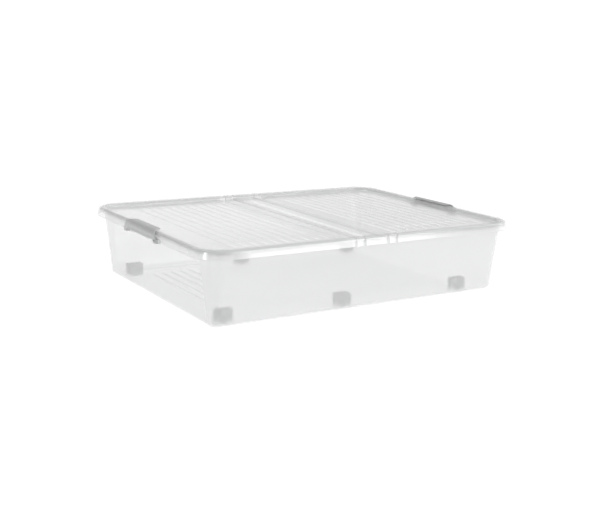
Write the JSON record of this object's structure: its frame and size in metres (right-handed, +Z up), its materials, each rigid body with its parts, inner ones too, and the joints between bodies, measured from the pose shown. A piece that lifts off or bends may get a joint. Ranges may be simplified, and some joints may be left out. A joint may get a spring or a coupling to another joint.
{
  "type": "under bed storage box",
  "caption": "Low clear plastic storage box on small wheels, with a lid that folds up in two flaps beside a centre band and a clip handle at each short end.",
  "frame": {"origin": "on the floor under the middle of the box", "axes": "+X along the long side, +Y along the short side, towards the back, +Z up"},
  "size_m": [0.806, 0.6, 0.171],
  "materials": {
    "clear_shell": "clear moulded polypropylene, lightly frosted",
    "clip_plastic": "satin moulded grey",
    "wheel_plastic": "satin moulded pale grey",
    "carrier_plastic": "clear moulded polypropylene",
    "axle_steel": "drawn wire"
  },
  "bodies": {
    "tub": {"tub_shell": "clear_shell", "wheel_carrier_front_left": "carrier_plastic", "wheel_carrier_back_left": "carrier_plastic", "wheel_carrier_front_middle": "carrier_plastic", "wheel_carrier_back_middle": "carrier_plastic", "wheel_carrier_front_right": "carrier_plastic", "wheel_carrier_back_right": "carrier_plastic", "wheel_axle_front_left": "axle_steel", "wheel_axle_back_left": "axle_steel", "wheel_axle_front_middle": "axle_steel", "wheel_axle_back_middle": "axle_steel", "wheel_axle_front_right": "axle_steel", "wheel_axle_back_right": "axle_steel"},
    "lid_centre": {"lid_centre_band": "clear_shell"},
    "spine_left": {"lid_spine_left": "clear_shell"},
    "flap_left": {"lid_flap_left": "clear_shell"},
    "spine_right": {"lid_spine_right": "clear_shell"},
    "flap_right": {"lid_flap_right": "clear_shell"},
    "clip_left": {"clip_left": "clip_plastic"},
    "clip_right": {"clip_right": "clip_plastic"},
    "wheel_front_left": {"wheel_front_left": "wheel_plastic"},
    "wheel_back_left": {"wheel_back_left": "wheel_plastic"},
    "wheel_front_middle": {"wheel_front_middle": "wheel_plastic"},
    "wheel_back_middle": {"wheel_back_middle": "wheel_plastic"},
    "wheel_front_right": {"wheel_front_right": "wheel_plastic"},
    "wheel_back_right": {"wheel_back_right": "wheel_plastic"}
  },
  "joints": [
    {"name": "lid_lift", "type": "slide", "parent": "tub", "child": "lid_centre", "axis": [0, 0, 1], "range_m": [0, 0.2]},
    {"name": "left_spine_fold", "type": "hinge", "parent": "lid_centre", "child": "spine_left", "pos_m": [-0.03, 0, 0.1585], "axis": [0, 1, 0], "range_deg": [0, 50]},
    {"name": "left_flap_fold", "type": "hinge", "parent": "spine_left", "child": "flap_left", "pos_m": [-0.0525, 0, 0.1555], "axis": [0, 1, 0], "range_deg": [0, 40]},
    {"name": "right_spine_fold", "type": "hinge", "parent": "lid_centre", "child": "spine_right", "pos_m": [0.03, 0, 0.1585], "axis": [0, -1, 0], "range_deg": [0, 50]},
    {"name": "right_flap_fold", "type": "hinge", "parent": "spine_right", "child": "flap_right", "pos_m": [0.0525, 0, 0.1555], "axis": [0, -1, 0], "range_deg": [0, 40]},
    {"name": "left_clip_swing", "type": "hinge", "parent": "tub", "child": "clip_left", "pos_m": [-0.3945, 0, 0.148], "axis": [0, -1, 0], "range_deg": [0, 120]},
    {"name": "right_clip_swing", "type": "hinge", "parent": "tub", "child": "clip_right", "pos_m": [0.3945, 0, 0.148], "axis": [0, 1, 0], "range_deg": [0, 120]},
    {"name": "front_left_wheel_roll", "type": "hinge", "parent": "tub", "child": "wheel_front_left", "pos_m": [-0.32, -0.225, 0.013], "axis": [0, 1, 0], "continuous": true},
    {"name": "back_left_wheel_roll", "type": "hinge", "parent": "tub", "child": "wheel_back_left", "pos_m": [-0.32, 0.225, 0.013], "axis": [0, 1, 0], "continuous": true},
    {"name": "front_middle_wheel_roll", "type": "hinge", "parent": "tub", "child": "wheel_front_middle", "pos_m": [-0.032, -0.225, 0.013], "axis": [0, 1, 0], "continuous": true},
    {"name": "back_middle_wheel_roll", "type": "hinge", "parent": "tub", "child": "wheel_back_middle", "pos_m": [-0.032, 0.225, 0.013], "axis": [0, 1, 0], "continuous": true},
    {"name": "front_right_wheel_roll", "type": "hinge", "parent": "tub", "child": "wheel_front_right", "pos_m": [0.29, -0.225, 0.013], "axis": [0, 1, 0], "continuous": true},
    {"name": "back_right_wheel_roll", "type": "hinge", "parent": "tub", "child": "wheel_back_right", "pos_m": [0.29, 0.225, 0.013], "axis": [0, 1, 0], "continuous": true}
  ],
  "couplings": [
    {"joint": "left_spine_fold", "follows": "left_flap_fold", "ratio": 1.25},
    {"joint": "right_spine_fold", "follows": "right_flap_fold", "ratio": 1.25}
  ]
}
